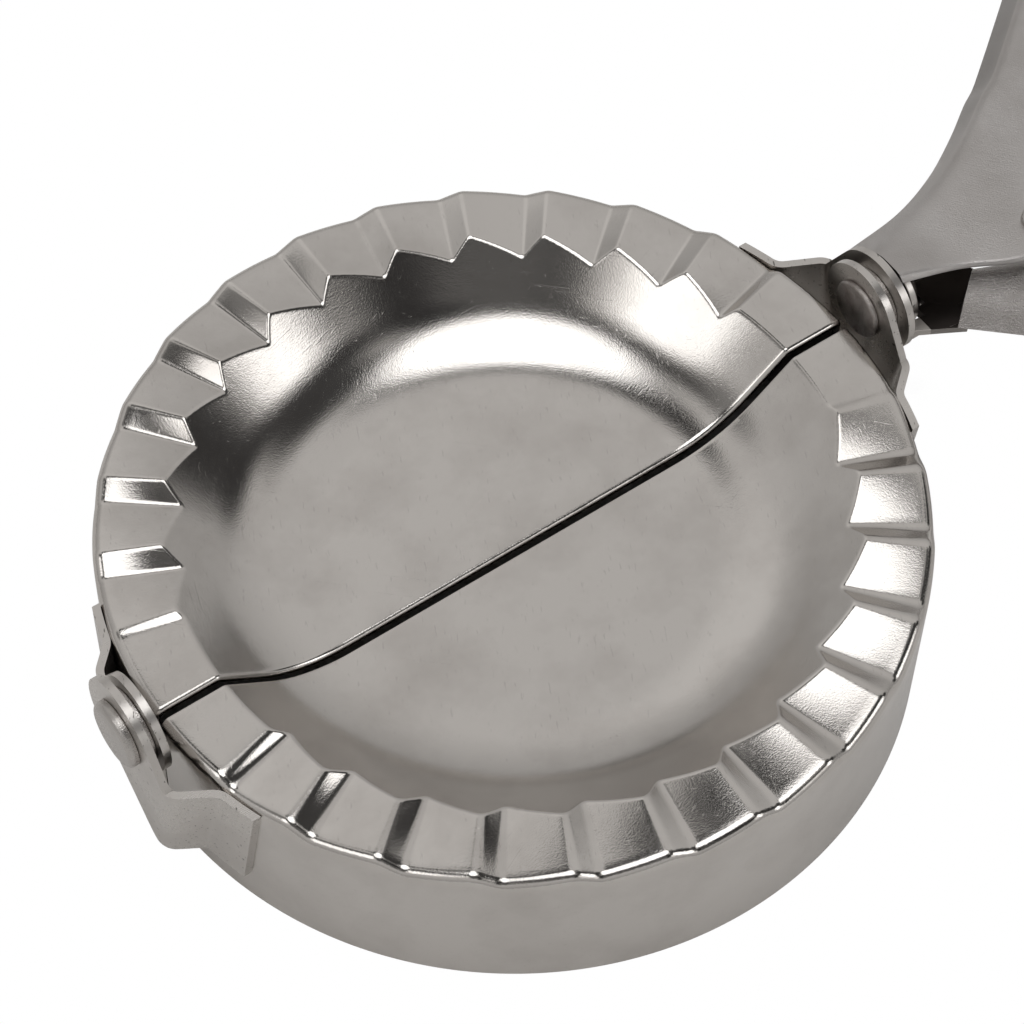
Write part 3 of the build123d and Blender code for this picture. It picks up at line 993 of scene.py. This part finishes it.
# ---- small parts ----
# dark boxes on the tongue that stand in for the shade round the rear rivet, hiding the table seen
# through the gaps there; their faces that look up or back get the tongue's painted shade
# lowest and highest X, lowest and highest Y, lowest and highest Z, from the middle of the ring
TONGUE_SHADE_BOXES = (
    (54.5, 55.3, -3.0, 1.0, -1.7, 1.25),
    (53.5, 54.4, -4.9, -3.75, -0.45, 0.5),
    (54.55, 60.0, -1.2, 1.5, 0.4, 1.29),
)


@dataclass
class SmallPart:
    """Strap, rivet, washer or bracket: the CAD shape with worn, rounded edges.

    Attributes:
        node: CAD node it stands for.
        body: body it rides on.
        finish: its material.
        slot: material slot of the record; not used.
        layout: shared places, needed for the shade boxes.
        edge: width of the worn edge in millimetres.
        shade_boxes: dark boxes that stand in for shade where the table would show through gaps, laid
            out as in TONGUE_SHADE_BOXES.
    """

    node: str
    body: str
    finish: bpy.types.Material
    slot: str
    layout: Layout | None = None
    edge: float = 0.14
    shade_boxes: tuple[tuple[float, ...], ...] = ()

    def build(self) -> bpy.types.Object:
        """Make the piece and let it stand for its CAD node.

        Returns:
            The finished object.
        """
        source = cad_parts[self.node]
        mesh = source.data.copy()
        piece = bpy.data.objects.new(f"{self.node}_worn", mesh)
        bpy.context.scene.collection.objects.link(piece)
        piece.matrix_world = source.matrix_world
        work = bmesh.new()
        work.from_mesh(mesh)
        bmesh.ops.remove_doubles(work, verts=work.verts, dist=1e-6)
        bmesh.ops.dissolve_degenerate(work, dist=2e-6, edges=work.edges)
        for face in work.faces:
            face.smooth = True
        for edge in work.edges:
            edge.smooth = not (edge.is_manifold and edge.calc_face_angle() > math.radians(SHARP_ANGLE))
        # dark boxes standing in for shade where the table would show through
        for shade_box in self.shade_boxes:
            self._add_shade_box(work, source, Vector(shade_box[0::2]), Vector(shade_box[1::2]))
        work.to_mesh(mesh)
        work.free()
        bevel(piece, self.edge, SHARP_ANGLE)
        mesh.materials.clear()
        mesh.materials.append(self.finish)
        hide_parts(self.node)
        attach(piece, self.body)
        LOG.info("%s", piece.name)
        return piece

    def _add_shade_box(self, work: bmesh.types.BMesh, source: bpy.types.Object, low: Vector,
             high: Vector) -> None:
        """Add a dark box that stands in for shade where the table would show through a gap.

        Args:
            work: mesh to add to, in the axes of its object.
            source: CAD node of that object.
            low: lowest corner from the middle of the ring.
            high: highest corner.
        """
        middle, size = self.layout.at(*((low + high) / 2)), (high - low) * MM
        place = Matrix.Translation(middle) @ Matrix.Diagonal(size).to_4x4()
        bmesh.ops.create_cube(work, size=1.0, matrix=source.matrix_world.inverted() @ place)


# ---- studio ----
def direction(azimuth: float, elevation: float) -> Vector:
    """Unit vector from the ring into the room.

    Args:
        azimuth: degrees from +X towards +Y.
        elevation: degrees above the table.

    Returns:
        The direction.
    """
    turn, rise = math.radians(azimuth), math.radians(elevation)
    plan = math.cos(rise)
    return Vector((math.cos(turn) * plan, math.sin(turn) * plan, math.sin(rise)))


@dataclass(frozen=True)
class Patch:
    """Round patch of the tent with its own brightness.

    Attributes:
        azimuth: degrees from +X towards +Y.
        elevation: degrees above the table.
        radius: half its angular width, degrees.
        level: brightness.
        soft: width of the fading edge, degrees.
    """

    azimuth: float
    elevation: float
    radius: float
    level: float
    soft: float = 3.0

    def over(self, nodes: NodeSheet, look: bpy.types.NodeSocket,
             below: bpy.types.NodeSocket) -> bpy.types.NodeSocket:
        """Lay the patch over the brightness found so far.

        Args:
            nodes: sheet to add to.
            look: direction socket.
            below: brightness without the patch.

        Returns:
            Brightness with the patch.
        """
        aim = nodes.add("ShaderNodeVectorMath")
        aim.operation = "DOT_PRODUCT"
        nodes.link(look, aim.inputs[0])
        aim.inputs[1].default_value = direction(self.azimuth, self.elevation)
        outside, inside = self.radius + self.soft, max(self.radius - self.soft, 0.0)
        limits = {"From Min": math.cos(math.radians(outside)),
                  "From Max": math.cos(math.radians(inside))}
        fade = nodes.add("ShaderNodeMapRange", **limits)
        fade.interpolation_type = "SMOOTHSTEP"
        nodes.link(aim.outputs["Value"], fade.inputs["Value"])
        blend = nodes.add("ShaderNodeMix", B=self.level)
        nodes.link(fade.outputs["Result"], blend.inputs["Factor"])
        nodes.link(below, blend.inputs["A"])
        return blend.outputs["Result"]


@dataclass(frozen=True)
class SoftBox:
    """Round soft light.

    Attributes:
        name: light name.
        azimuth: degrees from +X towards +Y.
        elevation: degrees above the table.
        radius: half its angular width seen from the ring, degrees.
        radiance: brightness.
        distance: millimetres from the middle of the ring.
    """

    name: str
    azimuth: float
    elevation: float
    radius: float
    radiance: float
    distance: float = 1500.0


TENT_LEVEL = 0.65
TENT_FOOT = 0.24  # darkening at the height of the table
TENT_RISE = 0.35  # how fast it brightens with height
TENT_TINT = (("Red", 1.0), ("Green", 0.985), ("Blue", 0.965))
TENT_PATCHES = (
    Patch(82, 44, 15, 0.75, 8.0),
    Patch(-115, 85, 24.5, 0.15, 2.5),
    Patch(92, 69, 8, 0.02, 3.0),
    Patch(-92, 48, 16, 0.03, 4.0),
    Patch(-104, 45, 6, 0.20, 3.0),
    Patch(-128, 52, 13, 0.12),
    Patch(-28, 54, 15, 0.05, 4.0),
    Patch(-13, 26, 12, 0.04),
    Patch(-22, 37, 7, 0.05),
    Patch(-56, 49, 8, 0.03),
    Patch(12, 71, 3, 0.15, 2.0),
    Patch(143, 51, 10, 0.25),
    Patch(-68, 33, 7, 1.2),
    Patch(-164, 47, 6, 1.2, 2.0),
    Patch(-143, 54, 6, 0.08, 2.0),
    Patch(-160, 60, 5, 0.03, 2.0),
    Patch(174, 64, 6, 0.03, 2.0),
    Patch(152, 60, 6, 0.06, 2.0),
)
SOFT_BOXES = (
    SoftBox("overhead_box", -115, 85, 19.5, 2.2),
    SoftBox("window_box", -46, 31, 12, 1.8),
    SoftBox("side_box", 177, 44, 12.5, 1.35),
)
TABLE_HALF = 3.0  # metres
TABLE_TINT = (0.82, 0.81, 0.80, 1)
COVER_REACH = 70.0  # height searched for a cover
COVER_FADE = ((0.17, 0.0), (0.27, 1.0))
CAMERA_AZIMUTH, CAMERA_ELEVATION, CAMERA_ROLL = -36.459, 55.533, 1.4716
CAMERA_DISTANCE = 366.497
CAMERA_TARGET = (-0.2024, 0.1255, 0.0)
SENSOR_WIDTH, FOCAL_LENGTH = 36.0, 118.26


@dataclass
class Studio:
    """White table, soft boxes and camera.

    Attributes:
        layout: shared places.
    """

    layout: Layout

    def build(self) -> None:
        """Set the stage."""
        self._floor()
        self._tent()
        for box in SOFT_BOXES:
            self._soft_box(box)
        self._camera()

    def _floor(self) -> None:
        """White table that stays white to the camera, but is shaded where the press covers it."""
        corners = ((-1, -1), (1, -1), (1, 1), (-1, 1))
        points = [Vector((x, y, 0.0)) * TABLE_HALF for x, y in corners]
        floor = new_object("table", points, [(0, 1, 2, 3)])
        nodes = NodeSheet("table_white")
        rays = nodes.add("ShaderNodeLightPath")
        sky = nodes.add("ShaderNodeAmbientOcclusion", Distance=COVER_REACH * MM)
        open_spot = nodes.ramp(sky.outputs["AO"], COVER_FADE)
        seen = nodes.math("MULTIPLY", rays.outputs["Is Camera Ray"], open_spot)
        glow = nodes.add("ShaderNodeEmission", Color=(1, 1, 1, 1), Strength=1.0)
        paper = nodes.add("ShaderNodeBsdfDiffuse", Color=TABLE_TINT)
        pick = nodes.add("ShaderNodeMixShader")
        nodes.link(seen, pick.inputs[0])
        nodes.link(paper.outputs[0], pick.inputs[1])
        nodes.link(glow.outputs[0], pick.inputs[2])
        floor.data.materials.append(nodes.close(pick))

    def _tent(self) -> None:
        """Grey light tent with darker openings, mirrored in the steel."""
        world = bpy.data.worlds.new("tent")
        bpy.context.scene.world = world
        world.use_nodes = True
        nodes = NodeSheet.for_world(world)
        look = nodes.add("ShaderNodeTexCoord").outputs["Generated"]
        height = nodes.math("MULTIPLY_ADD", nodes.split(look)["Z"], TENT_RISE, TENT_LEVEL - TENT_FOOT)
        level = nodes.math("MINIMUM", height, TENT_LEVEL)
        for patch in TENT_PATCHES:
            level = patch.over(nodes, look, level)
        back = nodes.add("ShaderNodeBackground", Strength=1.0)
        shade = nodes.add("ShaderNodeCombineColor")
        for channel, weight in TENT_TINT:
            nodes.link(nodes.math("MULTIPLY", level, weight), shade.inputs[channel])
        nodes.link(shade.outputs[0], back.inputs["Color"])
        out = nodes.add("ShaderNodeOutputWorld")
        nodes.link(back.outputs[0], out.inputs["Surface"])

    def _soft_box(self, box: "SoftBox") -> None:
        """Round area light aimed at the middle of the ring.

        Args:
            box: direction, size and brightness.
        """
        data = bpy.data.lights.new(box.name, "AREA")
        data.shape = "DISK"
        data.size = 2 * box.distance * math.tan(math.radians(box.radius)) * MM
        data.energy = box.radiance * math.pi * math.pi * (data.size / 2) ** 2
        lamp = bpy.data.objects.new(box.name, data)
        bpy.context.scene.collection.objects.link(lamp)
        lamp.location = self.layout.at(*(direction(box.azimuth, box.elevation) * box.distance))
        aim = self.layout.at(0, 0, 0) - lamp.location
        lamp.rotation_euler = aim.to_track_quat("-Z", "Y").to_euler()

    def _camera(self) -> None:
        """Long lens from the front left, well above the table."""
        azimuth, roll = math.radians(CAMERA_AZIMUTH), math.radians(CAMERA_ROLL)
        back = direction(CAMERA_AZIMUTH - 90.0, CAMERA_ELEVATION)
        right = Vector((math.cos(azimuth), math.sin(azimuth), 0.0))
        up = back.cross(right)
        level_right = right * math.cos(roll) + up * math.sin(roll)
        level_up = up * math.cos(roll) - right * math.sin(roll)
        data = bpy.data.cameras.new("camera")
        data.sensor_width = SENSOR_WIDTH
        data.lens = FOCAL_LENGTH
        camera = bpy.data.objects.new("camera", data)
        bpy.context.scene.collection.objects.link(camera)
        target = self.layout.at(*CAMERA_TARGET)
        place = Matrix((level_right, level_up, back)).transposed().to_4x4()
        place.translation = target + back * CAMERA_DISTANCE * MM
        camera.matrix_world = place
        data.clip_start, data.clip_end = 0.01, 20.0
        bpy.context.scene.camera = camera


# ---- the press ----
def left_stations() -> list[Station]:
    """Cross-sections of the left handle, which arches over the hinge.

    Returns:
        Stations from the hinge outwards.
    """
    return [
        Station((51.1, 6.0), (51.1, -3.0), 7.4, 3.4, 6.6, 4.4, 0.6, 3.0),
        Station((58.0, 6.3), (58.0, -4.8), 6.5, 4.5, 6.0, 2.3, 0.3, 2.0),
        Station((65.0, 9.0), (65.0, -8.2), 6.5, 3.6, 6.0, 2.6, 0.3, 1.5),
        Station((71.0, 12.4), (72.0, -8.8), 6.5, 3.0, 6.0, 2.6, 0.3),
        Station((76.2, 15.9), (80.5, -5.1), 6.5, 2.4, 6.0, 2.6, 0.3),
        Station((80.28, 18.49), (91.72, 3.31), 6.5, 1.9, 1.9, 2.6, 2.6),
        Station((103.45, 35.93), (114.89, 20.76), 6.5, 1.9, 1.9, 2.6, 2.6),
        Station((131.39, 57.0), (142.83, 41.82), 6.5, 1.9, 1.9, 2.6, 2.6),
    ]


def right_stations() -> list[Station]:
    """Cross-sections of the right handle, which starts with a straight cut.

    Returns:
        Stations from the hinge outwards.
    """
    return [
        Station((62.0, -3.2), (55.2, -8.7), 4.5, 1.4, 1.4, 2.4, 2.4, 2.2),
        Station((70.2, -6.4), (62.4, -15.4), 4.5, 1.4, 1.4, 2.6, 2.6, 2.0),
        Station((85.72, -11.31), (74.28, -26.49), 4.5, 1.4, 1.4, 2.6, 2.6),
        Station((108.87, -28.77), (97.43, -43.95), 4.5, 1.4, 1.4, 2.6, 2.6),
        Station((136.83, -49.83), (125.4, -65.0), 4.5, 1.4, 1.4, 2.6, 2.6),
    ]


FINISHES = (
    SteelFinish("shell_sheet", (0.60, 0.575, 0.55), 0.11, 0.05, grain=(0.5, 0.5, 9.0),
                grain_depth=0.03, pitting=0.11, scratches=0.03, mottle=0.22, ticks=0.10),
    SteelFinish("strap_sheet", (0.60, 0.575, 0.55), 0.25, mottle=0.2, ticks=0.75),
    # the tongue gets painted shade beyond X, for the shadow under the left handle
    SteelFinish("tongue_sheet", (0.50, 0.475, 0.45), 0.27, mottle=0.3, painted_shade_beyond=8.7),
    SteelFinish("rivet_metal", (0.56, 0.54, 0.52), 0.22, pitting=0.4, mottle=0.3),
    # the tail of the rear rivet gets painted shade beyond X, for the same deep shadow
    SteelFinish("peened_metal", (0.40, 0.375, 0.36), 0.2, pitting=0.9, mottle=0.95,
                cloud_scale=0.4, painted_shade_beyond=9.2, stain=(0.07, 0.035, 0.025)),
    # the left handle's steep sides get painted shade
    SteelFinish("handle_satin", (0.50, 0.48, 0.47), 0.30, grain=(0.5, 7.0, 7.0),
                grain_heading=-52.0, grain_depth=0.3, pitting=0.5, mottle=0.25, painted_side_shade=0.85),
    SteelFinish("handle_rough", (0.40, 0.38, 0.37), 0.24, grain=(0.3, 5.0, 5.0),
                grain_heading=-35.0, grain_depth=0.2, pitting=1.6, mottle=0.4),
)
STRAP_NODES = (
    ("front_left_strap", "left_half"),
    ("rear_left_strap", "left_half"),
    ("front_right_strap", "right_half"),
    ("rear_right_strap", "right_half"),
    ("left_handle_bracket", "right_half"),
)
RIVET_NODES = (
    ("front_hinge_rivet", "right_half"),
    ("front_spacer_washer", "right_half"),
    ("rear_spacer_washer", "right_half"),
    ("left_handle_rivets", "right_half"),
    ("right_handle_rivets", "left_half"),
)


def main() -> None:
    """Build the press piece by piece."""
    logging.basicConfig(level=logging.INFO, format="%(name)s: %(message)s")
    layout = Layout.from_frame()
    sheet, strap, tongue, rivet, peened, satin, rough = (finish.build() for finish in FINISHES)
    HalfShell(Half.LEFT, layout, sheet, edge_gap=0.12, edge_round=0.65).build()
    HalfShell(Half.RIGHT, layout, sheet,
              spread=(-0.8, -0.5, -0.25, 0.0, 0.25, 0.5, 0.8)).build()
    Handle("left_handle", "right_half", layout, satin, left_stations(),
           tip=(129.526, 43.699), heading=37.0).build()
    Handle("right_handle", "left_half", layout, rough, right_stations(),
           tip=(123.526, -51.699), heading=-37.0).build()
    for node, body in STRAP_NODES:
        SmallPart(node, body, strap, "strap_steel").build()
    SmallPart("right_handle_bracket", "left_half", tongue, "strap_steel", layout,
              edge=0.04, shade_boxes=TONGUE_SHADE_BOXES).build()
    SmallPart("rear_hinge_rivet", "right_half", peened, "rivet_steel").build()
    for node, body in RIVET_NODES:
        SmallPart(node, body, rivet, "rivet_steel").build()
    Studio(layout).build()
    bpy.context.scene.view_settings.view_transform = "Standard"


if __name__ == "__main__":
    main()
